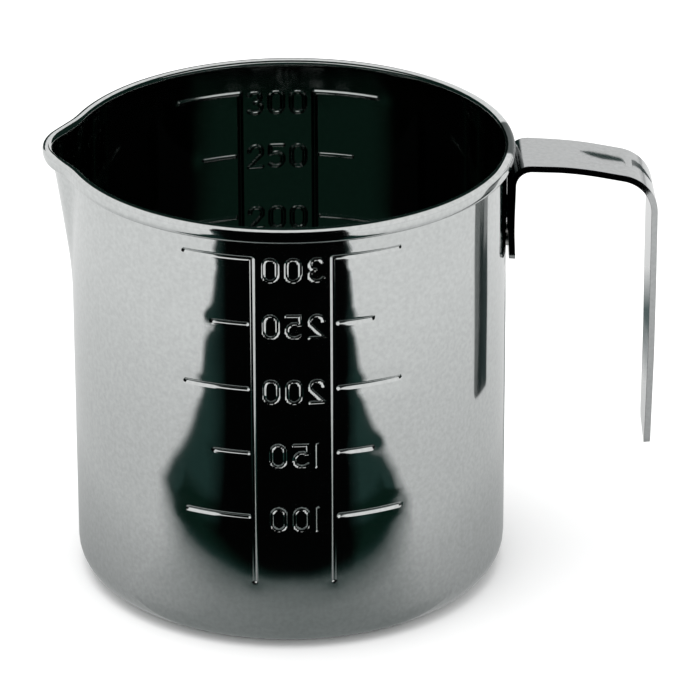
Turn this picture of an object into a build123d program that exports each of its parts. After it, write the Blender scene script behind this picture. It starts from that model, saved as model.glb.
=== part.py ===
from build123d import *
from math import cos, radians, sin, tan
import os

# Small stainless-steel melting and measuring pot: a drawn cup with a rolled rim,
# a pressed pouring lip, two pressed measuring scales, and a hooked strap handle
# held by two spot welds.
#
# Millimetres and degrees. The origin is the centre of the underside of the base,
# +Z is up, the handle points to +X and the pouring lip to -X.

# Drawn cup
WALL = 0.5
CUP_RADIUS = 37.2
HEIGHT = 78.05
BASE_CORNER = 5.0
BORE_RADIUS = CUP_RADIUS - WALL

# Rolled rim: the sheet turns outwards and down, and its edge comes back to the wall
ROLL_WIDTH = 1.95
ROLL_HEIGHT = 2.7
ROLL_SHEET = 0.45
ROLL_SLIT = 0.12
ROLL_TOP_ROUND = 1.3
ROLL_BOTTOM_ROUND = 1.1

# Pouring lip: a nose pressed out of the wall, leaning outwards towards the rim
LIP_ROOT = 54.7
LIP_LEAN = 0.122
LIP_CURL = 0.0008
LIP_FLANK_ANGLE = 59
LIP_NOSE_RADIUS = 11
LIP_BLEND_RADIUS = 25
LIP_SECTIONS = 6
LIP_BACK = 31
LIP_START = 50

# Measuring scales, pressed inwards: grooves outside and ridges inside
SCALE_AZIMUTHS = (-90, 92.2)
TOP_MARK = 72.2
MARK_STEP = 11.83
MARK_TEXTS = ("300", "250", "200", "150", "100")
PRESS_DEPTH = 0.2
LINE_WIDTH = 0.7
RAIL_OFFSET = 6.7
RAIL_BOTTOM = 12.8
MARK_GAP = 0.75
LONG_MARK_ANGLE = 28.5
SHORT_MARK_ANGLE = 20.8
DIGIT_HEIGHT = 4.0
DIGIT_WIDTH = 2.35
DIGIT_PITCH = 3.85
DIGIT_START = -4.0
ONE_IS_NARROWER = 1.1
DIGIT_STROKE = 0.5
DIGIT_DROP = 0.4
TOP_DIGIT_DROP = 2.0
STAMP_CLEARANCE = 1
STAMP_DEPTH = 8

# Strap handle, bent from one flat strip
STRAP_WIDTH = 12.6
STRAP = 1.1
STRAP_FIT_GAP = 0.02
ROOT_FACE = CUP_RADIUS + STRAP_FIT_GAP
ROOT_X = ROOT_FACE + STRAP / 2
ROOT_LOW = 57.7
ROOT_LEAN = 0.3
ROOT_CORNER = 75.3
ROOT_BEND = 3.2
GRIP_X = 62.2
GRIP_CORNER = 71.95
GRIP_BEND = 6.7
TOE_HEIGHT = 40
TOE_IN = 0.3
TOE_BEND = 200
GRIP_LOW = 22.6
STRAP_CORNER_RADIUS = 1.5

# Spot welds between the strap and the wall, with a shallow electrode mark on the strap
WELD_RADIUS = 2
WELD_HEIGHTS = (60.2, 65.4)
WELD_IN_WALL = 0.25
WELD_IN_STRAP = 0.5
WELD_MARK = 0.12

ON_BASE = (Align.CENTER, Align.CENTER, Align.MIN)

os.makedirs("parts", exist_ok=True)


def lip_throw(height):
    """How far the nose of the lip stands out of the round wall at a height."""
    rise = height - LIP_ROOT
    return LIP_LEAN * rise + LIP_CURL * rise * abs(rise)


def lip_outline(reach, nose_radius):
    """Plan outline of the lip in the open sketch: a blunt wedge whose nose is at -reach."""
    apex = reach + nose_radius / sin(radians(LIP_FLANK_ANGLE)) - nose_radius
    half_back = (apex - LIP_BACK) * tan(radians(LIP_FLANK_ANGLE))
    wedge = Polygon((-apex, 0), (-LIP_BACK, -half_back), (-LIP_BACK, half_back), align=None)
    fillet(wedge.vertices().sort_by(Axis.X)[0], nose_radius)


def lip_core(wall_radius, nose_radius):
    """The solid that fills the pressed lip of a round wall, and runs into the cup behind it."""
    with BuildPart() as core:
        for index in range(LIP_SECTIONS):
            height = LIP_START + index * (HEIGHT - LIP_START) / (LIP_SECTIONS - 1)
            with BuildSketch(Plane.XY.offset(height)):
                lip_outline(wall_radius + lip_throw(height), nose_radius)
        loft()
    return core.part


def scale_plane(azimuth):
    """Upright plane outside the wall, facing the cup's axis, on which a scale reads rightly from inside."""
    across = (sin(radians(azimuth)), -cos(radians(azimuth)), 0)
    inwards = (-cos(radians(azimuth)), -sin(radians(azimuth)), 0)
    stand_off = CUP_RADIUS + STAMP_CLEARANCE
    start = (-stand_off * inwards[0], -stand_off * inwards[1], 0)
    return Plane(origin=start, x_dir=across, z_dir=inwards)


def pressed_zero(centre_x, centre_z):
    """An upright oval ring, the digit 0, in the open sketch."""
    with Locations((centre_x, centre_z)):
        SlotOverall(DIGIT_HEIGHT + DIGIT_STROKE, DIGIT_WIDTH + DIGIT_STROKE, rotation=90)
        SlotOverall(DIGIT_HEIGHT - DIGIT_STROKE, DIGIT_WIDTH - DIGIT_STROKE, rotation=90, mode=Mode.SUBTRACT)


def pressed_digit(digit, centre_x, centre_z):
    """One of the digits 1, 2, 3 and 5 in the open sketch, as a line of the stroke's width."""
    left = centre_x - DIGIT_WIDTH / 2
    right = centre_x + DIGIT_WIDTH / 2
    top = centre_z + DIGIT_HEIGHT / 2
    bottom = centre_z - DIGIT_HEIGHT / 2
    bowl = DIGIT_HEIGHT / 4
    with BuildLine() as stroke:
        if digit == "1":
            Line((centre_x, bottom), (centre_x, top))
        elif digit == "2":
            shoulder = top - DIGIT_WIDTH / 2
            ThreePointArc((left, shoulder), (centre_x, top), (right, shoulder))
            Polyline((right, shoulder), (left, bottom), (right, bottom))
        elif digit == "3":
            ThreePointArc((left, top - bowl / 2), (right, top - bowl), (centre_x, centre_z))
            ThreePointArc((centre_x, centre_z), (right, bottom + bowl), (left, bottom + bowl / 2))
        elif digit == "5":
            Polyline((right, top), (left, top), (left, centre_z + bowl / 3))
            ThreePointArc((left, centre_z + bowl / 3), (right, bottom + bowl), (left, bottom + bowl / 3))
    outline = offset(stroke.line, amount=DIGIT_STROKE / 2, mode=Mode.PRIVATE)
    make_face(outline.edges())


def scale_stamp(azimuth):
    """Blades that press one scale: two rails, the marks beside them and the numbers between them."""
    with BuildPart() as stamp:
        with BuildSketch(scale_plane(azimuth)):
            rail_height = TOP_MARK - RAIL_BOTTOM
            with Locations((-RAIL_OFFSET, TOP_MARK - rail_height / 2), (RAIL_OFFSET, TOP_MARK - rail_height / 2)):
                Rectangle(LINE_WIDTH, rail_height + LINE_WIDTH)
            for index, text in enumerate(MARK_TEXTS):
                mark_z = TOP_MARK - index * MARK_STEP
                is_top = index == 0
                reach_angle = SHORT_MARK_ANGLE if index % 2 else LONG_MARK_ANGLE
                outer_end = CUP_RADIUS * sin(radians(reach_angle))
                inner_end = RAIL_OFFSET if is_top else RAIL_OFFSET + MARK_GAP
                middle = (inner_end + outer_end) / 2
                with Locations((-middle, mark_z), (middle, mark_z)):
                    Rectangle(outer_end - inner_end, LINE_WIDTH)
                text_z = mark_z - (TOP_DIGIT_DROP if is_top else DIGIT_DROP)
                text_x = DIGIT_START
                for digit in text:
                    if digit == "0":
                        pressed_zero(text_x, text_z)
                    else:
                        pressed_digit(digit, text_x, text_z)
                    text_x += DIGIT_PITCH - (ONE_IS_NARROWER if digit == "1" else 0)
        extrude(amount=STAMP_DEPTH)
    return stamp.part


# The cup is one piece of sheet: the solid outside, less its bore, with the rim's roll
# carried round the wall and the lip, then the pressed scales and the welds' seats.
outer_lip = lip_core(CUP_RADIUS, LIP_NOSE_RADIUS)
inner_lip = lip_core(BORE_RADIUS, LIP_NOSE_RADIUS - WALL)
stamps = [scale_stamp(azimuth) for azimuth in SCALE_AZIMUTHS]

with BuildPart() as groove_cutters:
    add(stamps)
    Cylinder(CUP_RADIUS - PRESS_DEPTH, HEIGHT, align=ON_BASE, mode=Mode.SUBTRACT)

with BuildPart() as ridges:
    add(stamps)
    Cylinder(BORE_RADIUS + WALL / 2, HEIGHT, align=ON_BASE, mode=Mode.INTERSECT)
    Cylinder(BORE_RADIUS - PRESS_DEPTH, HEIGHT, align=ON_BASE, mode=Mode.SUBTRACT)

with BuildSketch() as rim_plan:
    Circle(CUP_RADIUS)
    lip_outline(CUP_RADIUS + lip_throw(HEIGHT), LIP_NOSE_RADIUS)
    fillet(rim_plan.vertices().sort_by(Axis.X)[2:4], LIP_BLEND_RADIUS)

with BuildPart() as roll_outside:
    with BuildSketch(Plane.XY.offset(HEIGHT - ROLL_HEIGHT)):
        offset(rim_plan.sketch, amount=ROLL_WIDTH - WALL)
    extrude(amount=ROLL_HEIGHT)
    fillet(roll_outside.edges().group_by(Axis.Z)[0], ROLL_BOTTOM_ROUND)
    fillet(roll_outside.edges().group_by(Axis.Z)[-1], ROLL_TOP_ROUND)

with BuildPart() as roll_hollow:
    with BuildSketch(Plane.XY.offset(HEIGHT - ROLL_HEIGHT + ROLL_SHEET)):
        offset(rim_plan.sketch, amount=ROLL_WIDTH - WALL - ROLL_SHEET)
        add(rim_plan.sketch, mode=Mode.SUBTRACT)
    extrude(amount=ROLL_HEIGHT - 2 * ROLL_SHEET)
    with BuildSketch(Plane.XY.offset(HEIGHT - ROLL_HEIGHT)):
        offset(rim_plan.sketch, amount=ROLL_SLIT)
        add(rim_plan.sketch, mode=Mode.SUBTRACT)
    extrude(amount=ROLL_SHEET)

with BuildPart() as bore:
    with Locations((0, 0, WALL)):
        Cylinder(BORE_RADIUS, HEIGHT, align=ON_BASE)
    fillet(bore.edges().group_by(Axis.Z)[0], BASE_CORNER - WALL)
    add(inner_lip)

with BuildPart() as weld_seats:
    for height in WELD_HEIGHTS:
        with BuildSketch(Plane.YZ.offset(CUP_RADIUS - WELD_IN_WALL)):
            with Locations((0, height)):
                Circle(WELD_RADIUS)
        extrude(amount=WELD_IN_WALL + STRAP_FIT_GAP + WELD_IN_STRAP)

with BuildPart() as pot_body:
    Cylinder(CUP_RADIUS, HEIGHT, align=ON_BASE)
    fillet(pot_body.edges().group_by(Axis.Z)[0], BASE_CORNER)
    add(outer_lip)
    add(roll_outside.part)
    add(roll_hollow.part, mode=Mode.SUBTRACT)
    add(bore.part, mode=Mode.SUBTRACT)
    add(groove_cutters.part, mode=Mode.SUBTRACT)
    add(ridges.part)
    add(weld_seats.part, mode=Mode.SUBTRACT)
pot_body.part.label = "pot_body"
export_step(pot_body.part, "parts/pot_body.step")

# The strap handle: a strip welded flat to the wall, bent over the rim, along and down,
# open at its lower end so that it also hooks over the edge of a pan.
with BuildPart() as handle:
    with BuildSketch(Plane.XZ):
        with BuildLine() as strap_line:
            FilletPolyline(
                (ROOT_X, ROOT_LOW),
                (ROOT_X + ROOT_LEAN, ROOT_CORNER),
                (GRIP_X, GRIP_CORNER),
                (GRIP_X, TOE_HEIGHT),
                (GRIP_X - TOE_IN, GRIP_LOW),
                radius=[ROOT_BEND, GRIP_BEND, TOE_BEND],
            )
        trace(strap_line.line, line_width=STRAP)
    extrude(amount=STRAP_WIDTH / 2, both=True)
    end_corners = handle.edges().filter_by(lambda edge: abs(edge.length - STRAP) < 0.01)
    fillet(end_corners, STRAP_CORNER_RADIUS)
    add(weld_seats.part, mode=Mode.SUBTRACT)
    for height in WELD_HEIGHTS:
        lean = ROOT_LEAN * (height - ROOT_LOW) / (ROOT_CORNER - ROOT_LOW)
        with BuildSketch(Plane.YZ.offset(ROOT_FACE + lean + STRAP - WELD_MARK)):
            with Locations((0, height)):
                Circle(WELD_RADIUS)
        extrude(amount=STRAP, mode=Mode.SUBTRACT)
handle.part.label = "handle"
export_step(handle.part, "parts/handle.step")

# The two weld nuggets that join the strap to the wall.
with BuildPart() as spot_welds:
    add(weld_seats.part)
spot_welds.part.label = "spot_welds"
export_step(spot_welds.part, "parts/spot_welds.step")
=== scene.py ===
import bpy
import math
import numpy as np
from mathutils import Matrix, Vector


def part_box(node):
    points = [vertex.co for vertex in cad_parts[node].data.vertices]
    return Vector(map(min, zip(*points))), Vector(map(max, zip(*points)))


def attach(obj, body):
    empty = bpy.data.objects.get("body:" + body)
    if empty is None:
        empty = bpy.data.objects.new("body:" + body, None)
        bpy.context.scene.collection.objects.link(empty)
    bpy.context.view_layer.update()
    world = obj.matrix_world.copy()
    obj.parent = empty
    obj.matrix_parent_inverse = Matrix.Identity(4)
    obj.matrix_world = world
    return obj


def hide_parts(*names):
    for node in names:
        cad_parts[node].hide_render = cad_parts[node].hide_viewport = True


# Polished steel melting pot: the drawn cup with its rolled rim, lip and pressed scales,
# the bent strap handle and its weld nuggets, in a white studio with cards that only reflections see.
# Lengths are millimetres until MM turns them to metres. Only the floor's size and the lamp's
# size and place are written in metres.

MM = 0.001

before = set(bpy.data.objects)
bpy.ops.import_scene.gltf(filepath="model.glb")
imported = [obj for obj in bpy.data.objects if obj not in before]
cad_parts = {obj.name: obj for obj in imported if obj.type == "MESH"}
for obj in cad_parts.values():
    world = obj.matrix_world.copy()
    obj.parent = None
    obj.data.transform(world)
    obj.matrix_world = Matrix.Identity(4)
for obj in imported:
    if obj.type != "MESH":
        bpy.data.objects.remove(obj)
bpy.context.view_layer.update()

# ---------------------------------------------------------------- the cup's dimensions
WALL = 0.5
CUP_RADIUS = 37.2
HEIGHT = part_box("pot_body")[1].z / MM
BASE_CORNER = 5.0
ROLL_WIDTH = 1.95
ROLL_HEIGHT = 2.7
ROLL_SHEET = 0.45
ROLL_SLIT = 0.1
ROLL_SQUARENESS = 2.5
LIP_ROOT = 54.7
LIP_LEAN = 0.122
LIP_CURL = 0.0008
LIP_FLANK_ANGLE = math.radians(59)
LIP_NOSE_RADIUS = 11
LIP_BLEND = 0.5
SCALE_AZIMUTHS = (math.radians(-90), math.radians(92.2))
TOP_MARK = 72.2
MARK_STEP = 11.83
MARK_TEXTS = ("300", "250", "200", "150", "100")
RAIL_OFFSET = 6.7
RAIL_BOTTOM = 12.8
MARK_GAP = 0.95
LONG_MARK_ANGLE = math.radians(28.5)
SHORT_MARK_ANGLE = math.radians(20.8)
DIGIT_HEIGHT = 4.0
DIGIT_WIDTH = 2.35
DIGIT_PITCH = 3.85
DIGIT_START = -4.0
ONE_IS_NARROWER = 1.1
DIGIT_DROP = 0.4
TOP_DIGIT_DROP = 2.0

# How the marks are pressed: half widths of the grooves, and how the sheet sinks around them
LINE_REACH = 0.5
LINE_DEPTH = 0.24
DIGIT_REACH = 0.43
DIGIT_DEPTH = 0.2
SINK_REACH = 1.6
SINK_DEPTH = 0.05
WAVE_DEPTH = 0.006

# Resolution of the cup's mesh: columns round it, and how near to a groove the cells divide
COLUMNS = 128
WALL_ROWS = 39
DIVIDE_WITHIN = (3.3, 1.6, 0.75)
FINEST = 2 ** len(DIVIDE_WITHIN)
LIP_CROWDING = 0.4
ROLL_CENTRE_N = ROLL_WIDTH / 2 - WALL
ROLL_CENTRE_Z = HEIGHT - ROLL_HEIGHT / 2


# ---------------------------------------------------------------- helpers
def smoothstep(value):
    value = np.clip(value, 0, 1)
    return value * value * (3 - 2 * value)


def new_mesh_object(name, vertices_mm, faces, normals=None):
    """A smooth-shaded mesh object from millimetre vertices, with given vertex normals if any."""
    mesh = bpy.data.meshes.new(name)
    mesh.from_pydata([tuple(v) for v in np.asarray(vertices_mm) * MM], [], faces)
    mesh.update()
    mesh.polygons.foreach_set("use_smooth", [True] * len(mesh.polygons))
    if normals is not None:
        mesh.normals_split_custom_set_from_vertices([tuple(n) for n in normals])
    obj = bpy.data.objects.new(name, mesh)
    bpy.context.scene.collection.objects.link(obj)
    return obj


# ---------------------------------------------------------------- pressed scales
def arc_points(centre_x, centre_z, radius_x, radius_z, start, end, count):
    """Points on an elliptic arc, angles in degrees."""
    angles = np.radians(np.linspace(start, end, count))
    return [(centre_x + radius_x * math.cos(a), centre_z + radius_z * math.sin(a)) for a in angles]


def digit_lines(digit, x, z):
    """Centre line of a digit as points, x growing in the reading direction."""
    half_w = DIGIT_WIDTH / 2
    half_h = DIGIT_HEIGHT / 2
    left = x - half_w
    right = x + half_w
    top = z + half_h
    bottom = z - half_h
    if digit == "0":
        crown = arc_points(x, top - half_w * 1.05, half_w, half_w * 1.05, 180, 0, 9)
        heel = arc_points(x, bottom + half_w * 1.05, half_w, half_w * 1.05, 0, -180, 9)
        return crown + heel + crown[:1]
    if digit == "1":
        return [(x, bottom), (x, top)]
    if digit == "2":
        shoulder = arc_points(x, top - half_w * 0.95, half_w, half_w * 0.95, 175, -25, 10)
        return shoulder + [(left, bottom), (right, bottom)]
    if digit == "3":
        upper = arc_points(x - 0.1, z + half_h * 0.48, half_w * 0.95, half_h * 0.52, 150, -80, 9)
        lower = arc_points(x - 0.1, z - half_h * 0.48, half_w * 1.05, half_h * 0.52, 80, -150, 9)
        return upper + lower
    bowl = arc_points(x - 0.15, z - half_h * 0.34, half_w * 1.1, half_h * 0.66, 125, -140, 11)
    return [(right, top), (left + 0.1, top), (left, z + 0.35)] + bowl


def scale_strokes():
    """Segments (x0, z0, x1, z1) of one scale's lines and of its digits, in the scale's own plane."""
    lines = []
    digits = []
    for side in (-1, 1):
        lines.append([(side * RAIL_OFFSET, RAIL_BOTTOM), (side * RAIL_OFFSET, TOP_MARK)])
    for index, text in enumerate(MARK_TEXTS):
        mark_z = TOP_MARK - index * MARK_STEP
        outer = CUP_RADIUS * math.sin(SHORT_MARK_ANGLE if index % 2 else LONG_MARK_ANGLE)
        inner = RAIL_OFFSET if index == 0 else RAIL_OFFSET + MARK_GAP
        for side in (-1, 1):
            lines.append([(side * inner, mark_z), (side * outer, mark_z)])
        text_z = mark_z - (TOP_DIGIT_DROP if index == 0 else DIGIT_DROP)
        digit_x = DIGIT_START
        for digit in text:
            digits.append(digit_lines(digit, digit_x, text_z))
            digit_x += DIGIT_PITCH - (ONE_IS_NARROWER if digit == "1" else 0)
    return [
        np.array([(*a, *b) for path in paths for a, b in zip(path, path[1:])])
        for paths in (lines, digits)
    ]


LINE_SEGMENTS, DIGIT_SEGMENTS = scale_strokes()


def distance_to(segments, x, z):
    """Distance in the plane from each point to the nearest of the segments."""
    nearest = np.full(x.shape, 99.0)
    for x0, z0, x1, z1 in segments:
        dx = x1 - x0
        dz = z1 - z0
        close = (np.abs(x - (x0 + x1) / 2) < abs(dx) / 2 + 4) & (np.abs(z - (z0 + z1) / 2) < abs(dz) / 2 + 4)
        px = x[close] - x0
        pz = z[close] - z0
        along = np.clip((px * dx + pz * dz) / (dx * dx + dz * dz), 0, 1)
        nearest[close] = np.minimum(nearest[close], np.hypot(px - along * dx, pz - along * dz))
    return nearest


def stroke_distances(theta, z):
    """Distances to the nearest scale line and to the nearest digit, for points on the wall."""
    to_line = np.full(theta.shape, 99.0)
    to_digit = np.full(theta.shape, 99.0)
    for azimuth in SCALE_AZIMUTHS:
        turn = (theta - azimuth + math.pi) % (2 * math.pi) - math.pi
        near = np.abs(turn) < LONG_MARK_ANGLE + 0.15
        x = -CUP_RADIUS * np.sin(turn[near])
        to_line[near] = distance_to(LINE_SEGMENTS, x, z[near])
        to_digit[near] = distance_to(DIGIT_SEGMENTS, x, z[near])
    return to_line, to_digit


def groove(distance, reach, depth):
    """Rounded groove of a pressed stroke."""
    return depth * 0.5 * (1 + np.cos(math.pi * np.clip(distance / reach, 0, 1)))


def pressed_depth(theta, z):
    """How far the sheet is pushed inwards by the scales, and by the slight waves of its polishing."""
    to_line, to_digit = stroke_distances(theta, z)
    nearest = np.minimum(to_line, to_digit)
    pressed = np.maximum(groove(to_line, LINE_REACH, LINE_DEPTH), groove(to_digit, DIGIT_REACH, DIGIT_DEPTH))
    sunk = SINK_DEPTH * np.exp(-((nearest / SINK_REACH) ** 2))
    waves = np.sin(5 * theta + 0.13 * z) + np.sin(11 * theta - 0.21 * z + 1.3) + np.sin(0.34 * z + 3 * theta)
    fade = smoothstep((z - BASE_CORNER) / 6) * smoothstep((ROLL_CENTRE_Z - z) / 4)
    return pressed + sunk + WAVE_DEPTH * waves * fade


# ---------------------------------------------------------------- the cup's surface
def wall_radius(theta, z):
    """Radius of the outside of the wall, round except for the lip at -X."""
    phi = np.abs(theta % (2 * math.pi) - math.pi)
    rise = z - LIP_ROOT
    reach = CUP_RADIUS + LIP_LEAN * rise + LIP_CURL * rise * np.abs(rise)
    flank_sin = math.sin(LIP_FLANK_ANGLE)
    flank_cos = math.cos(LIP_FLANK_ANGLE)
    apex = reach + LIP_NOSE_RADIUS / flank_sin - LIP_NOSE_RADIUS
    centre = reach - LIP_NOSE_RADIUS
    touch = np.arctan2(LIP_NOSE_RADIUS * flank_cos, centre + LIP_NOSE_RADIUS * flank_sin)
    under = np.clip(LIP_NOSE_RADIUS ** 2 - (centre * np.sin(phi)) ** 2, 0, None)
    nose = centre * np.cos(phi) + np.sqrt(under)
    flank = apex * flank_sin / np.sin(np.clip(LIP_FLANK_ANGLE + phi, 0, math.pi / 2))
    wedge = np.where(phi < touch, nose, flank)
    overlap = np.clip(LIP_BLEND - np.abs(wedge - CUP_RADIUS), 0, None) / LIP_BLEND
    return np.maximum(wedge, CUP_RADIUS) + overlap ** 2 * LIP_BLEND / 4


def sheet_point(theta, n, z, pressed):
    """Point at a distance n outside the wall's outer face, measured square to it in plan."""
    step = 1e-4
    radius = wall_radius(theta, z)
    slope = (wall_radius(theta + step, z) - wall_radius(theta - step, z)) / (2 * step)
    length = np.hypot(radius, slope)
    out = n - (pressed_depth(theta, z) if pressed else 0)
    radial = radius + out * radius / length
    sideways = -out * slope / length
    x = radial * np.cos(theta) - sideways * np.sin(theta)
    y = radial * np.sin(theta) + sideways * np.cos(theta)
    return np.stack([x, y, z + 0 * theta], axis=-1)


def sheet_normal(theta, n, z, direction, pressed):
    """Unit normal of the surface that passes through the point along (n, z) direction."""
    turn = 3e-4
    step = 0.01
    along = sheet_point(theta, n + step * direction[0], z + step * direction[1], pressed)
    along = along - sheet_point(theta, n - step * direction[0], z - step * direction[1], pressed)
    around = sheet_point(theta + turn, n, z, pressed) - sheet_point(theta - turn, n, z, pressed)
    normal = np.cross(around, along)
    return normal / np.linalg.norm(normal, axis=-1, keepdims=True)


def column_angle(column):
    """Angle of a column of the finest grid: columns crowd towards the lip."""
    turn = 2 * math.pi * column / (COLUMNS * FINEST)
    return turn + LIP_CROWDING * np.sin(turn)


def divided_cells():
    """Cells of the wall's grid, divided near the pressed strokes: lists of (column, row, size)."""
    row_height = (ROLL_CENTRE_Z - BASE_CORNER) / (WALL_ROWS * FINEST)
    size = FINEST
    columns, rows = np.meshgrid(np.arange(COLUMNS) * size, np.arange(WALL_ROWS) * size, indexing="ij")
    columns = columns.ravel()
    rows = rows.ravel()
    leaves = []
    for within in DIVIDE_WITHIN:
        theta = column_angle(columns + size / 2)
        z = BASE_CORNER + (rows + size / 2) * row_height
        divide = np.minimum(*stroke_distances(theta, z)) < within
        leaves.append((columns[~divide], rows[~divide], size))
        size //= 2
        columns = (columns[divide][:, None] + np.array([0, size, 0, size])).ravel()
        rows = (rows[divide][:, None] + np.array([0, 0, size, size])).ravel()
    leaves.append((columns, rows, size))
    return leaves, row_height


class SheetMesh:
    """Vertices, normals and faces of the one closed surface of the cup's sheet."""

    def __init__(self):
        self.points = []
        self.normals = []
        self.faces = []
        self.count = 0
        self.outside_faces = 0

    def add(self, theta, n, z, direction, pressed=False):
        """Adds vertices and returns the index of the first."""
        theta = np.atleast_1d(theta).astype(float)
        n = np.full(theta.shape, n) if np.isscalar(n) else n
        z = np.full(theta.shape, z) if np.isscalar(z) else z
        first = self.count
        self.points.append(sheet_point(theta, n, z, pressed))
        self.normals.append(sheet_normal(theta, n, z, direction, pressed))
        self.count += len(theta)
        return first

    def ring(self, n, z, direction):
        """One row of vertices round the cup, as an index list."""
        first = self.add(column_angle(np.arange(COLUMNS) * FINEST), float(n), float(z), direction)
        return [first + i for i in range(COLUMNS)]

    def pole(self, z, facing):
        """The single vertex in the middle of the base."""
        self.points.append(np.array([[0.0, 0.0, z]]))
        self.normals.append(np.array([[0.0, 0.0, facing]]))
        self.count += 1
        return self.count - 1

    def join(self, lower, upper):
        """Quads between two rings, the second further along the sheet's profile."""
        for i in range(COLUMNS):
            j = (i + 1) % COLUMNS
            self.faces.append((lower[i], lower[j], upper[j], upper[i]))

    def wall(self, n, upwards):
        """The divided grid of one face of the wall. Returns its lowest and highest ring."""
        leaves, row_height = divided_cells()
        width = COLUMNS * FINEST
        used = np.zeros((width, WALL_ROWS * FINEST + 1), bool)
        for columns, rows, size in leaves:
            for dc, dr in ((0, 0), (size, 0), (size, size), (0, size)):
                used[(columns + dc) % width, rows + dr] = True
        index = np.full(used.shape, -1)
        where_column, where_row = np.nonzero(used)
        theta = column_angle(where_column)
        z = BASE_CORNER + where_row * row_height
        first = self.add(theta, n, z, (0, 1 if upwards else -1), pressed=True)
        index[where_column, where_row] = first + np.arange(len(where_column))
        for columns, rows, size in leaves:
            half = size // 2
            ring = [(0, 0), (half, 0), (size, 0), (size, half)]
            ring += [(size, size), (half, size), (0, size), (0, half)]
            if not half:
                ring = ring[::2]
            corners = np.stack([index[(columns + dc) % width, rows + dr] for dc, dr in ring], axis=1)
            if not upwards:
                corners = corners[:, ::-1]
            self.faces.extend(tuple(i for i in cell if i >= 0) for cell in corners.tolist())
        return index[::FINEST, 0].tolist(), index[::FINEST, -1].tolist()


def roll_point(half_width, half_height, angle):
    """Point (n, z) on the rounded section of the rim's roll."""
    c = math.cos(angle)
    s = math.sin(angle)
    power = 2 / ROLL_SQUARENESS
    return (
        ROLL_CENTRE_N + half_width * math.copysign(abs(c) ** power, c),
        ROLL_CENTRE_Z + half_height * math.copysign(abs(s) ** power, s),
    )


def roll_path(inset, steps):
    """Section of the roll from the wall over the top, down outside and back to the slit at the wall."""
    half_width = ROLL_WIDTH / 2 - inset
    half_height = ROLL_HEIGHT / 2 - inset
    slit_cos = (ROLL_CENTRE_N - ROLL_SLIT) / half_width
    end = -math.pi / 2 - math.asin(slit_cos ** (ROLL_SQUARENESS / 2))
    angles = np.linspace(math.pi, end, steps + 1)[1:]
    return [roll_point(half_width, half_height, a) for a in angles]


def directions(path):
    """Unit tangents along a path of (n, z) points."""
    tangents = np.gradient(np.array(path), axis=0)
    return tangents / np.linalg.norm(tangents, axis=1, keepdims=True)


def build_pot_body(outside, inside):
    """The cup: base, wall, rolled rim and inside as one closed sheet."""
    sheet = SheetMesh()
    flat_radii = (9.0, 18.0, 26.0)
    corner = [math.radians(a) for a in np.linspace(-90, 0, 10)[:-1]]
    outer_path = [(r - CUP_RADIUS, 0.0) for r in flat_radii]
    outer_path += [
        (BASE_CORNER * (math.cos(a) - 1), BASE_CORNER * (math.sin(a) + 1)) for a in corner
    ]
    inner_corner = BASE_CORNER - WALL
    inner_path = [(r - CUP_RADIUS, WALL) for r in flat_radii]
    inner_path += [
        (inner_corner * math.cos(a) - BASE_CORNER, BASE_CORNER + inner_corner * math.sin(a)) for a in corner
    ]
    inner_path = inner_path[::-1]

    bottom = sheet.pole(0.0, -1)
    rings = [sheet.ring(*p, d) for p, d in zip(outer_path, directions(outer_path + [(0, BASE_CORNER)]))]
    for i in range(COLUMNS):
        sheet.faces.append((bottom, rings[0][(i + 1) % COLUMNS], rings[0][i]))
    for lower, upper in zip(rings, rings[1:]):
        sheet.join(lower, upper)
    wall_low, wall_high = sheet.wall(0.0, True)
    sheet.join(rings[-1], wall_low)

    inside_roll = roll_path(ROLL_SHEET, 12)
    outside_roll = roll_path(0, 30)[::-1]
    roll = inside_roll + outside_roll
    rings = [sheet.ring(*p, d) for p, d in zip(roll, directions(roll))]
    sheet.join(wall_high, rings[0])
    for lower, upper in zip(rings, rings[1:]):
        sheet.join(lower, upper)
    sheet.outside_faces = len(sheet.faces)
    inner_low, inner_high = sheet.wall(-WALL, False)
    sheet.join(rings[-1], inner_high)

    inner_headings = directions([(-WALL, BASE_CORNER)] + inner_path)[1:]
    rings = [sheet.ring(*p, d) for p, d in zip(inner_path, inner_headings)]
    sheet.join(inner_low, rings[0])
    for lower, upper in zip(rings, rings[1:]):
        sheet.join(lower, upper)
    middle = sheet.pole(WALL, 1)
    for i in range(COLUMNS):
        sheet.faces.append((middle, rings[-1][i], rings[-1][(i + 1) % COLUMNS]))
    points = np.concatenate(sheet.points)
    normals = np.concatenate(sheet.normals)
    obj = new_mesh_object("pot_sheet", points, sheet.faces, normals)
    obj.data.materials.append(outside)
    obj.data.materials.append(inside)
    slots = np.arange(len(sheet.faces)) >= sheet.outside_faces
    obj.data.polygons.foreach_set("material_index", slots.astype(np.int32))
    return obj


# ---------------------------------------------------------------- the strap handle
STRAP_WIDTH = 12.6
STRAP = 1.1
STRAP_BEVEL = 0.05
STRAP_EDGE_SLANT = 0.1
STRAP_CORNER = 1.5
STRAP_FIT_GAP = 0.02
ROOT_X = CUP_RADIUS + STRAP_FIT_GAP + STRAP / 2
ROOT_LOW = 57.7
STRAP_CORNERS = (
    (ROOT_X + 0.2, ROOT_LOW),
    (ROOT_X, 63.2),
    (ROOT_X + 0.1, 74.98),
    (48.8, 74.38),
    (62.12, 71.7),
    (62.12, 40),
    (61.85, 22.6),
)
STRAP_BENDS = (40, 3.2, 60, 6.5, 200)
STRAP_TWISTS = ((0, 0.0), (8, 0.0), (14, 1.0), (17, 1.0), (24, 0.0), (58, 0.0), (88, 1.6))
WELD_HEIGHTS = (60.2, 65.4)
WELD_RADIUS = 2
WELD_MARK = 0.12
WELD_MARK_EDGE = 0.5
STRAP_STEP = 0.5
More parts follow.
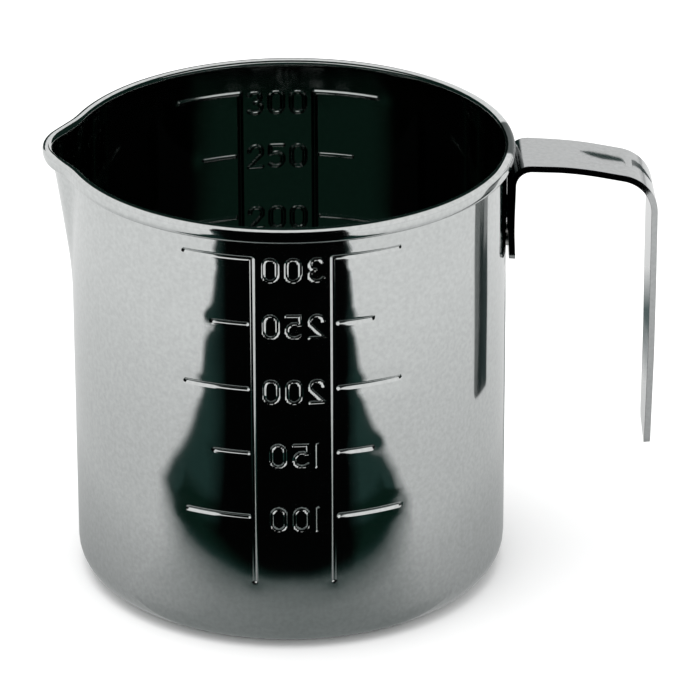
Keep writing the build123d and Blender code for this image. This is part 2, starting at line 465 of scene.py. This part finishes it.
STRAP_COLUMNS = 24


class BentLine:
    """A line through corner points in the XZ plane, its corners rounded to the bend radii."""

    def __init__(self, corners, bends):
        corners = [Vector(c) for c in corners]
        self.pieces = []
        self.length = 0.0
        start = corners[0]
        for before, corner, after, radius in zip(corners, corners[1:], corners[2:], bends):
            into = (corner - before).normalized()
            out = (after - corner).normalized()
            turn = into.angle_signed(out)
            cut = radius * math.tan(abs(turn) / 2)
            self.add_straight(start, corner - into * cut)
            self.add_arc(corner - into * cut, into, radius, -turn)
            start = corner + out * cut
        self.add_straight(start, corners[-1])

    def add_straight(self, start, end):
        self.pieces.append((self.length, start, (end - start).normalized(), 0.0))
        self.length += (end - start).length

    def add_arc(self, start, heading, radius, turn):
        self.pieces.append((self.length, start, heading, turn / abs(turn) / radius))
        self.length += radius * abs(turn)

    def at(self, s):
        """Places on the line and the headings there, as arrays of (x, z)."""
        places = np.zeros((len(s), 2))
        headings = np.zeros((len(s), 2))
        for begin, start, heading, curvature in self.pieces:
            here = s >= begin - 1e-9
            along = s[here] - begin
            turned = curvature * along
            across = Vector((-heading.y, heading.x))
            if curvature:
                forward = np.sin(turned) / curvature
                sideways = (1 - np.cos(turned)) / curvature
            else:
                forward = along
                sideways = 0 * along
            places[here] = np.array(start) + np.outer(forward, heading) + np.outer(sideways, across)
            headings[here] = np.outer(np.cos(turned), heading) + np.outer(np.sin(turned), across)
        return places, headings


def strap_outline(length, inset):
    """Stations along the strap at one inset from its outline: s, half width, and outward direction."""
    radius = STRAP_CORNER - inset
    turn = np.radians(np.linspace(0, 90, 6))
    tip = inset + radius * (1 - np.cos(turn))
    tip_width = STRAP_WIDTH / 2 - STRAP_CORNER + radius * np.sin(turn)
    run = np.linspace(STRAP_CORNER, length - STRAP_CORNER, int(length / STRAP_STEP))[1:-1]
    s = np.concatenate([tip, run, length - tip[::-1]])
    width = np.concatenate([tip_width, 0 * run + STRAP_WIDTH / 2 - inset, tip_width[::-1]])
    out_s = np.concatenate([-np.cos(turn), 0 * run, np.cos(turn[::-1])])
    out_t = np.concatenate([np.sin(turn), 0 * run + 1, np.sin(turn[::-1])])
    return s, width, out_s, out_t


def weld_dent(s, t):
    """Depth of the electrode's round marks in the strap's outside, over the welds."""
    dent = 0 * s
    for mark_z in WELD_HEIGHTS:
        distance = np.hypot(s - (mark_z - ROOT_LOW), t)
        dent = dent + WELD_MARK * smoothstep((WELD_RADIUS + WELD_MARK_EDGE / 2 - distance) / WELD_MARK_EDGE)
    return dent


def strap_surface(line, s, t, height, out_s, out_t, out, up):
    """Points and normals on the bent strap, from places and directions on the flat blank."""
    places, headings = line.at(s)
    lift = np.stack([-headings[:, 1], headings[:, 0]], axis=1)
    stations, degrees = zip(*STRAP_TWISTS)
    twist = np.radians(np.interp(s, stations, degrees))
    step = 0.05
    level = height + (weld_dent(s, t) if height < 0 else 0)
    slope_s = 0 * s
    slope_t = 0 * s
    if height < 0:
        slope_s = (weld_dent(s + step, t) - weld_dent(s - step, t)) / (2 * step)
        slope_t = (weld_dent(s, t + step) - weld_dent(s, t - step)) / (2 * step)
    place = places + lift * (level * np.cos(twist) + t * np.sin(twist))[:, None]
    points = np.stack([place[:, 0], t * np.cos(twist) - level * np.sin(twist), place[:, 1]], axis=1)
    normal_t = out * out_t - up * slope_t
    turned_up = up * np.cos(twist) + normal_t * np.sin(twist)
    turned_t = normal_t * np.cos(twist) - up * np.sin(twist)
    flat = headings * (out * out_s - up * slope_s)[:, None] + lift * turned_up[:, None]
    normals = np.stack([flat[:, 0], turned_t, flat[:, 1]], axis=1)
    return points, normals / np.linalg.norm(normals, axis=1, keepdims=True)


def edge_profile():
    """The strap's edge from its outer face to its inner one: inset, height, and normal's two parts."""
    thick = STRAP / 2
    lean = math.atan2(STRAP_EDGE_SLANT, STRAP - 2 * STRAP_BEVEL)
    profile = []
    for centre_inset, centre_height, start, end in (
        (STRAP_EDGE_SLANT + STRAP_BEVEL, thick - STRAP_BEVEL, math.pi / 2, lean),
        (STRAP_BEVEL, STRAP_BEVEL - thick, lean, -math.pi / 2),
    ):
        for angle in np.linspace(start, end, 5):
            inset = centre_inset - STRAP_BEVEL * math.cos(angle)
            height = centre_height + STRAP_BEVEL * math.sin(angle)
            profile.append((inset, height, math.cos(angle), math.sin(angle)))
    return profile


def build_handle():
    """The strap: a blank with small corners and sheared, eased edges, bent to the handle's shape."""
    line = BentLine(STRAP_CORNERS, STRAP_BENDS)
    across = np.linspace(1, -1, STRAP_COLUMNS + 1)
    profile = edge_profile()
    points = []
    normals = []
    faces = []
    rims = []
    count = 0
    for index, (inset, height, out, up) in enumerate(profile):
        s, width, out_s, out_t = strap_outline(line.length, inset)
        rows = len(s)
        grid = np.arange(rows * len(across)).reshape(rows, -1)
        border = np.concatenate([grid[:, 0], grid[-1, 1:-1], grid[::-1, -1], grid[0, -2:0:-1]])
        all_s = np.repeat(s, len(across))
        all_t = (width[:, None] * across).ravel()
        side = np.abs(np.tile(across, rows)) > 1 - 1e-9
        tip_s = np.where(all_s < line.length / 2, -1.0, 1.0)
        dir_s = np.where(side, np.repeat(out_s, len(across)), tip_s)
        dir_t = np.where(side, np.repeat(out_t, len(across)) * np.sign(all_t), 0.0)
        if index in (0, len(profile) - 1):
            picked = grid.ravel()
            rim = border + count
        else:
            picked = border
            rim = np.arange(len(border)) + count
        place = (all_s[picked], all_t[picked], height)
        made = strap_surface(line, *place, dir_s[picked], dir_t[picked], out, up)
        points.append(made[0])
        normals.append(made[1])
        if index in (0, len(profile) - 1):
            quads = np.stack([grid[:-1, :-1], grid[1:, :-1], grid[1:, 1:], grid[:-1, 1:]], axis=-1) + count
            quads = quads.reshape(-1, 4)
            faces.extend(tuple(q) for q in (quads[:, ::-1] if index == 0 else quads).tolist())
        rims.append(rim.tolist())
        count += len(picked)
    for upper, lower in zip(rims, rims[1:]):
        for i in range(len(upper)):
            j = (i + 1) % len(upper)
            faces.append((upper[i], upper[j], lower[j], lower[i]))
    return new_mesh_object("strap_handle", np.concatenate(points), faces, np.concatenate(normals))


# ---------------------------------------------------------------- materials
# Noise in the steel: scales, the part of its range in use, and how far it shifts the colour
CLOUD_SCALE = 55.0
MOTTLE_SCALE = 1300.0
NOISE_RANGE = (0.3, 0.7)
CLOUD_DIP = 0.96
MOTTLE_SPAN = (0.86, 1.1)

# Painted shade at the welded root, a near-black teal darkening the crevice where strap, wall and rim meet:
# how it fades sideways, along the height and on to the edges
ROOT_SHADE_SIDE_FADE = (6.6, 7.4)
ROOT_SHADE_HEIGHT_FADE = 0.3
ROOT_SHADE_EDGE_FADE = 0.2
ROOT_SHADE_COLOUR = (0.012, 0.024, 0.022)


def add_node(tree, kind, inputs=None, **settings):
    """Adds a node, sets its properties, and sets or links its inputs."""
    node = tree.nodes.new(kind)
    for key, value in settings.items():
        setattr(node, key, value)
    for key, value in (inputs or {}).items():
        if isinstance(value, bpy.types.NodeSocket):
            tree.links.new(value, node.inputs[key])
        else:
            node.inputs[key].default_value = value
    return node


def new_material(name):
    """An empty node material and its tree."""
    material = bpy.data.materials.new(name)
    material.use_nodes = True
    material.node_tree.nodes.clear()
    return material, material.node_tree


def ramp(tree, value, low, high, start=0.0, end=1.0):
    """Value carried from low..high to start..end, and held beyond."""
    inputs = {"Value": value, "From Min": low, "From Max": high, "To Min": start, "To Max": end}
    return add_node(tree, "ShaderNodeMapRange", inputs).outputs["Result"]


def multiply(tree, first, second):
    """Product of two values."""
    return add_node(tree, "ShaderNodeMath", {0: first, 1: second}, operation="MULTIPLY").outputs["Value"]


def mix_colours(tree, factor, first, second):
    """First colour at factor 0, second at factor 1."""
    node = add_node(tree, "ShaderNodeMix", {"Factor": factor}, data_type="RGBA")
    for socket, colour in (("A", first), ("B", second)):
        inputs = [i for i in node.inputs if i.name == socket and i.type == "RGBA"]
        if isinstance(colour, bpy.types.NodeSocket):
            tree.links.new(colour, inputs[0])
        else:
            inputs[0].default_value = (*colour, 1)
    return [o for o in node.outputs if o.type == "RGBA"][0]


def painted_root_shade(tree, place, low_z, near_x, far_x, edge_y, end_z):
    """1 where painted shade darkens the metal at the handle's root: above low_z beyond edge_y, and below
    end_z.
    """
    parts = add_node(tree, "ShaderNodeSeparateXYZ", {"Vector": place})
    height = parts.outputs["Z"]
    across = add_node(tree, "ShaderNodeMath", {0: parts.outputs["Y"]}, operation="ABSOLUTE").outputs["Value"]
    within = ramp(tree, across, ROOT_SHADE_SIDE_FADE[0] * MM, ROOT_SHADE_SIDE_FADE[1] * MM, 1.0, 0.0)
    above = ramp(tree, height, (low_z - ROOT_SHADE_HEIGHT_FADE) * MM, (low_z + ROOT_SHADE_HEIGHT_FADE) * MM)
    edge = ramp(tree, across, edge_y * MM, (edge_y + ROOT_SHADE_EDGE_FADE) * MM)
    end = ramp(tree, height, end_z * MM, (end_z + ROOT_SHADE_HEIGHT_FADE) * MM, 1.0, 0.0)
    either = add_node(tree, "ShaderNodeMath", {0: multiply(tree, above, edge), 1: end}, operation="MAXIMUM")
    side = ramp(tree, parts.outputs["X"], near_x * MM, far_x * MM)
    return multiply(tree, multiply(tree, within, either.outputs["Value"]), side)


def noise(tree, vector, scale, detail):
    """Noise between about 0 and 1 over the given coordinates."""
    inputs = {"Vector": vector, "Scale": scale, "Detail": detail}
    return add_node(tree, "ShaderNodeTexNoise", inputs).outputs["Fac"]


def steel(name, colour, gloss, satin, grain_scale, grain_depth, shade_z, shade_x, edge_y=-1.0, end_z=-1.0):
    """Polished steel: cloudy gloss, fine mottling, a stretched grain, and painted shade at the welded root.
    """
    material, tree = new_material(name)
    place = add_node(tree, "ShaderNodeTexCoord").outputs["Object"]
    cloud = noise(tree, place, CLOUD_SCALE, 3.0)
    mottle = noise(tree, place, MOTTLE_SCALE, 2.0)
    roughness = ramp(tree, cloud, *NOISE_RANGE, gloss, satin)
    stretched = add_node(tree, "ShaderNodeMapping", {"Vector": place, "Scale": grain_scale}).outputs["Vector"]
    grain = noise(tree, stretched, 1.0, 2.0)
    bump = add_node(tree, "ShaderNodeBump", {"Height": grain, "Strength": 1.0, "Distance": grain_depth * MM})
    cloudy = mix_colours(tree, cloud, [c * CLOUD_DIP for c in colour], colour)
    dull, bright = ([c * factor for c in colour] for factor in MOTTLE_SPAN)
    mottled = mix_colours(tree, ramp(tree, mottle, *NOISE_RANGE), dull, bright)
    clean = mix_colours(tree, 0.5, cloudy, mottled)
    # Painted shade: near-black teal laid over the steel in the crevice at the handle's root.
    root_shade = painted_root_shade(tree, place, shade_z, *shade_x, edge_y, end_z)
    shaded_colour = mix_colours(tree, root_shade, clean, ROOT_SHADE_COLOUR)
    shader = add_node(
        tree,
        "ShaderNodeBsdfPrincipled",
        {"Base Color": shaded_colour, "Metallic": 1.0, "Roughness": roughness, "Normal": bump.outputs["Normal"]},
    )
    add_node(tree, "ShaderNodeOutputMaterial", {"Surface": shader.outputs["BSDF"]})
    return material


def paint(obj, material):
    """Gives the whole object one material."""
    obj.data.materials.clear()
    obj.data.materials.append(material)


# ---------------------------------------------------------------- the studio
# Colours of the cards, and the far end of the dark aisle in front of the pot
DARK_GREEN = (0.016, 0.042, 0.037)
NEAR_BLACK = (0.001, 0.0012, 0.0012)
SHADE_GREY = (0.42, 0.43, 0.43)
AISLE_END_Y = -1100
AISLE_END_X = (-895, -870, 545, 570)


def card(name, corners_mm, faces, colour, cover):
    """A studio card seen only in reflections, where it glows with its own colour: a painted reflection, most
    of them painted shade. Its cover at each corner fades its edges.
    """
    mesh = bpy.data.meshes.new(name)
    mesh.from_pydata([tuple(c * MM for c in corner) for corner in corners_mm], [], faces)
    shade = mesh.attributes.new("cover", "FLOAT", "POINT")
    shade.data.foreach_set("value", cover)
    obj = bpy.data.objects.new(name, mesh)
    bpy.context.scene.collection.objects.link(obj)
    material, tree = new_material(name)
    fade = add_node(tree, "ShaderNodeAttribute", attribute_name="cover").outputs["Fac"]
    clear = add_node(tree, "ShaderNodeBsdfTransparent").outputs["BSDF"]
    glow = add_node(tree, "ShaderNodeEmission", {"Color": (*colour, 1), "Strength": 1.0}).outputs["Emission"]
    mix = add_node(tree, "ShaderNodeMixShader", {0: fade, 1: clear, 2: glow})
    add_node(tree, "ShaderNodeOutputMaterial", {"Surface": mix.outputs["Shader"]})
    obj.data.materials.append(material)
    obj.visible_camera = False
    obj.visible_diffuse = False
    obj.visible_transmission = False
    obj.visible_volume_scatter = False
    obj.visible_shadow = False
    return obj


def grid_faces(rows, columns):
    """Quads of a grid whose corners are listed row by row."""
    return [
        (r * columns + c, r * columns + c + 1, (r + 1) * columns + c + 1, (r + 1) * columns + c)
        for r in range(rows - 1)
        for c in range(columns - 1)
    ]


def floor_card(name, rows, height, colour):
    """A card lying over the floor, from rows of places (x, y, cover)."""
    corners = [(x, y, height) for row in rows for x, y, _ in row]
    covers = [cover for row in rows for _, _, cover in row]
    card(name, corners, grid_faces(len(rows), len(rows[0])), colour, covers)


def ring_card(name, rings, radius_at, colour):
    """A card of rings (distance, height, cover) round the Z axis, scaled by radius_at each angle."""
    count = 96
    angles = [2 * math.pi * i / count for i in range(count)]
    corners = [
        (r * radius_at(a) * math.cos(a), r * radius_at(a) * math.sin(a), z)
        for r, z, _ in rings
        for a in angles
    ]
    faces = []
    for level in range(len(rings) - 1):
        for i in range(count):
            j = (i + 1) % count
            low = level * count
            faces.append((low + i, low + j, low + count + j, low + count + i))
    return card(name, corners, faces, colour, [cover for _, _, cover in rings for _ in angles])


def build_world():
    """A plain white world."""
    scene = bpy.context.scene
    scene.view_settings.view_transform = "Standard"
    world = bpy.data.worlds.new("studio")
    scene.world = world
    world.use_nodes = True
    world.node_tree.nodes["Background"].inputs["Color"].default_value = (1, 1, 1, 1)
    world.node_tree.nodes["Background"].inputs["Strength"].default_value = 1.0


def build_floor():
    """A plain pale floor just under the base."""
    bpy.ops.mesh.primitive_plane_add(size=12, location=(0, 0, -0.05 * MM))
    floor = bpy.context.object
    floor.name = "floor"
    material, tree = new_material("floor")
    shader = add_node(
        tree,
        "ShaderNodeBsdfPrincipled",
        {"Base Color": (0.93, 0.93, 0.93, 1), "Roughness": 1.0, "Specular IOR Level": 0.0},
    )
    add_node(tree, "ShaderNodeOutputMaterial", {"Surface": shader.outputs["BSDF"]})
    paint(floor, material)


def build_lamp():
    """A soft overhead light that no reflection shows."""
    light = bpy.data.lights.new("overhead", "AREA")
    light.size = 1.6
    light.energy = 24
    lamp = bpy.data.objects.new("overhead", light)
    lamp.location = (-0.2, -0.1, 1.9)
    lamp.visible_glossy = False
    bpy.context.scene.collection.objects.link(lamp)


def build_floor_cards():
    """Cards lying over the floor: its shade all round, and the dark shape in front of the pot."""
    shade_rings = [
        (34, 0.2, 1.0),
        (41, 0.2, 1.0),
        (50, 0.2, 0.9),
        (74, 0.2, 0.72),
        (115, 0.2, 0.64),
        (165, 0.2, 0.5),
        (300, 0.2, 0.42),
        (2500, 0.2, 0.42),
        (5800, 0.2, 0),
    ]
    ring_card("floor_shade", shade_rings, lambda angle: 1.0, SHADE_GREY)

    front_rows = [
        [(-50, -24, 0), (-38, -22, 0), (-32, -24, 0.1), (-18, -29, 0.4), (0, -33, 0.55), (16, -30, 0.5),
         (30, -25, 0.1), (38, -22, 0), (48, -24, 0)],
        [(-60, -30, 0), (-44, -27, 0), (-36, -30.5, 0.1), (-20, -35, 0.35), (0, -38.5, 0.5), (18, -36, 0.42),
         (34, -32, 0.1), (44, -28, 0), (56, -30, 0)],
        [(-66, -38, 0), (-57, -40, 0.05), (-42, -43, 0.3), (-22, -48, 0.5), (0, -50.5, 0.58), (18, -49, 0.55),
         (36, -45, 0.34), (52, -43, 0.05), (64, -42, 0)],
        [(-81, -43, 0), (-70, -44.5, 0.2), (-48, -48.5, 0.52), (-28, -54.5, 0.72), (0, -58, 0.72),
         (18, -55.5, 0.74), (40, -51, 0.62), (60, -51, 0.4), (69, -52, 0)],
        [(-83, -47.5, 0), (-77, -51, 1), (-52, -54.5, 1), (-31, -60.5, 1), (0, -65, 1), (20, -62.5, 1),
         (42, -58.5, 1), (62, -61, 1), (71, -58, 0)],
        [(-87, -59, 0), (-81.5, -61, 1), (-56.5, -62.5, 1), (-31.5, -64, 1), (-6.5, -65.5, 1), (18.5, -67, 1),
         (43, -68.5, 1), (67, -70, 1), (74, -66, 0)],
    ]
    floor_card("dark_apron", front_rows, 0.4, DARK_GREEN)
    flank_rows = [
        [(-87, -59, 0), (-81.5, -61, 1), (67, -70, 1), (74, -66, 0)],
        [(-88.5, -80, 0), (-83.5, -82, 1), (68.5, -88, 1), (74.5, -86, 0)],
        [(-93, -98, 0), (-87, -100, 1), (69, -108, 1), (75, -106, 0)],
        [(-106, -117, 0), (-100, -119, 1), (75, -135, 1), (82, -135, 0)],
        [(-112, -142, 0), (-105, -144, 1), (82, -156, 1), (89, -156, 0)],
        [(-122, -165, 0), (-115, -166, 1), (88, -184, 1), (95, -184, 0)],
        [(x, AISLE_END_Y, cover) for x, cover in zip(AISLE_END_X, (0, 1, 1, 0))],
    ]
    floor_card("dark_flanks", flank_rows, 0.4, DARK_GREEN)
    near_rows = [
        [(-74, -50, 0), (-53, -53, 0), (-30, -58, 0), (0, -62, 0), (20, -60, 0), (42, -56, 0), (68, -58, 0)],
        [(-68, -55, 1), (-53, -57, 1), (-31, -63, 1), (0, -67, 1), (20, -65, 1), (42, -61, 1), (64, -63, 1)],
        [(-70, -62, 1), (-56, -66, 1), (-33, -72, 1), (0, -76, 1), (20, -74, 1), (42, -70, 1), (60, -70, 1)],
        [(-76, -68, 0), (-60, -74, 0), (-36, -80, 0), (0, -84, 0), (20, -82, 0), (42, -78, 0), (62, -78, 0)],
    ]
    floor_card("near_shade", near_rows, 0.6, (0.004, 0.016, 0.011))
    aisle_rows = [
        [(-50, -62, 0), (-34, -60, 0), (0, -60, 0), (24, -58, 0), (36, -60, 0)],
        [(-52, -68, 0), (-38, -67, 1), (0, -65, 1), (26, -64, 1), (38, -67, 0)],
        [(-65, -84, 0), (-53, -94, 1), (0, -94, 1), (43.6, -100, 1), (57, -100, 0)],
        [(-99, -121, 0), (-80, -136, 1), (0, -136, 1), (64, -137, 1), (80, -137, 0)],
        [(-112, -146, 0), (-91, -154, 1), (0, -155, 1), (75, -157, 1), (87, -157, 0)],
        [(-122, -166, 0), (-103, -171, 1), (0, -180, 1), (88, -184, 1), (95, -184, 0)],
        [(-895, -1100, 0), (-743, -1100, 1), (0, -1100, 1), (545, -1100, 1), (570, -1100, 0)],
    ]
    floor_card("dark_aisle", aisle_rows, 0.8, NEAR_BLACK)
    rear_rows = [
        [(-34, 32, 0), (-26, 30, 0), (40, 28, 0), (48, 28, 0)],
        [(-34, 38, 0), (-26, 38, 0.92), (40, 36, 0.92), (49, 36, 0)],
        [(-34, 100, 0), (-26, 100, 0.92), (56, 100, 0.92), (65, 100, 0)],
        [(-34, 120, 0), (-26, 120, 0), (58, 120, 0), (66, 120, 0)],
    ]
    floor_card("rear_shade", rear_rows, 0.4, (0.04, 0.075, 0.075))


def build_standing_cards():
    """Upright cards: far ones before and behind the pot, bars behind the handle, shades in the cup."""
    card(
        "dark_backdrop",
        [(x, AISLE_END_Y, z) for z in (0, 800, 860) for x in AISLE_END_X],
        grid_faces(3, 4),
        NEAR_BLACK,
        [0, 1, 1, 0, 0, 1, 1, 0, 0, 0, 0, 0],
    )
    card(
        "dark_rear",
        [(-520, 700, 0), (40, 700, 0), (40, 700, 330), (-520, 700, 330),
         (75, 700, 0), (75, 700, 345), (-520, 700, 360), (40, 700, 360)],
        [(0, 1, 2, 3), (1, 4, 5, 2), (3, 2, 7, 6), (2, 5, 7)],
        (0.012, 0.03, 0.026),
        [1, 1, 1, 1, 0, 0, 0, 0],
    )
    card(
        "horizon",
        [(40, 705, 0), (900, 705, 0), (900, 705, 60), (40, 705, 60), (900, 705, 130), (40, 705, 130)],
        [(0, 1, 2, 3), (3, 2, 4, 5)],
        (0.1, 0.1, 0.11),
        [0.25, 0.25, 0.25, 0.25, 0, 0],
    )
    # The two bars paint the dark streaks reflected on the handle's arm and bend.
    card(
        "far_bar",
        [(53.4, 22, 82.4), (55.6, 22, 81.7), (58.6, 22, 81.0), (61.4, 22, 80.6), (64, 22, 80.5),
         (61.6, 22, 81.3), (58.9, 22, 81.95), (56, 22, 82.4)],
        [(0, 1, 7), (1, 2, 6, 7), (2, 3, 5, 6), (3, 4, 5)],
        (0.02, 0.05, 0.045),
        [1, 1, 1, 1, 1, 1, 1, 1],
    )
    card(
        "bent_bar",
        [(x + shift, 21, z + shift) for shift in (-0.4, 0.45) for x, z in (
            (66.2, 76.9), (68.1, 73.5), (69.2, 70), (69.3, 67), (68.7, 64.5), (67.6, 62.2))],
        grid_faces(2, 6),
        (0.06, 0.08, 0.08),
        [0.7, 0.9, 1, 1, 1, 1, 0.7, 0.9, 1, 1, 1, 1],
    )
    card(
        "inner_shade",
        [(-30, 15, 1), (30, 15, 1), (30, 15, 50), (-30, 15, 50)],
        [(0, 1, 2, 3)],
        NEAR_BLACK,
        [1, 1, 1, 1],
    )
    # A faint teal glow painted into the reflection on the far inside wall.
    card(
        "inner_haze",
        [(x, 16, z) for z in (8, 16, 60, 68) for x in (-8, -3.5, 2.5, 6)],
        grid_faces(4, 4),
        (0.005, 0.016, 0.011),
        [0, 0, 0, 0, 0, 1, 1, 0, 0, 1, 1, 0, 0, 0, 0, 0],
    )


COLLAR_HEIGHT = 36
COLLAR_INSET = 1.0
COLLAR_LIFT = 0.3


def build_collar():
    """The dark card standing on the rim that keeps the inside of the cup dark."""
    rim = wall_radius(np.array([0.0]), np.array([HEIGHT]))[0]
    opening = rim - COLLAR_INSET

    def spread(angle):
        return (wall_radius(np.array([angle]), np.array([HEIGHT]))[0] - COLLAR_INSET) / opening

    rings = [(opening, HEIGHT + COLLAR_LIFT, 1), (opening, HEIGHT + COLLAR_HEIGHT, 1)]
    ring_card("dark_collar", rings, spread, (0.008, 0.02, 0.016))


CAMERA_PLACE = (-11.56, -838.8, 425.4)
CAMERA_YAW = math.radians(-1.5)
CAMERA_DOWN = math.radians(24.746)
CAMERA_ROLL = math.radians(-0.164)
CAMERA_LENS = 274.7


def build_camera():
    """The camera, close to level with the handle's plane and looking down into the cup."""
    camera = bpy.data.cameras.new("camera")
    camera.lens = CAMERA_LENS
    camera.sensor_width = 36
    camera.clip_start = 0.01
    obj = bpy.data.objects.new("camera", camera)
    turn = (
        Matrix.Rotation(CAMERA_YAW, 4, "Z")
        @ Matrix.Rotation(math.pi / 2 - CAMERA_DOWN, 4, "X")
        @ Matrix.Rotation(CAMERA_ROLL, 4, "Z")
    )
    obj.matrix_world = Matrix.Translation(Vector(CAMERA_PLACE) * MM) @ turn
    bpy.context.scene.collection.objects.link(obj)
    bpy.context.scene.camera = obj


# ---------------------------------------------------------------- putting it together
CUP_GRAIN = (900, 900, 120)
HANDLE_GRAIN = (140, 1400, 140)
WELD_GRAIN = (600, 600, 600)
GRAIN_DEPTH = 0.0006
# The height and x range given last to each steel place the painted shade at the handle's root: on the wall
# behind the strap, on the strap's edges and lower end, and on the upper weld. The inside's x range lies
# beyond the cup, so the inside takes none.
polished = steel(
    "polished_steel", (0.6, 0.615, 0.61), 0.05, 0.085, CUP_GRAIN, GRAIN_DEPTH,
    shade_z=57.2, shade_x=(36.2, 36.6),
)
# The inside's steel is given a darker colour than the outside's: painted shade for the darkness inside the
# cup.
inner = steel(
    "inner_steel_painted_shade", (0.45, 0.47, 0.46), 0.05, 0.09, CUP_GRAIN, GRAIN_DEPTH, shade_z=57.2, shade_x=(50, 51)
)
satin = steel(
    "handle_steel", (0.435, 0.445, 0.445), 0.045, 0.065, HANDLE_GRAIN, GRAIN_DEPTH,
    shade_z=62.9, shade_x=(40.9, 40.1), edge_y=5.95, end_z=58.0,
)
# The welds' light colour is painted light, so that the slit beside the lower weld shows bright; the upper
# weld lies in the painted shade at the root.
weld_painted_light = steel("weld_steel", (0.75, 0.74, 0.72), 0.3, 0.5, WELD_GRAIN, 0.004, shade_z=62.9, shade_x=(30, 31))

pot = build_pot_body(polished, inner)
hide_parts("pot_body")
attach(pot, "root")

handle = build_handle()
paint(handle, satin)
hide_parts("handle")
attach(handle, "root")

paint(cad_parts["spot_welds"], weld_painted_light)

build_world()
build_floor()
build_lamp()
build_floor_cards()
build_standing_cards()
build_collar()
build_camera()
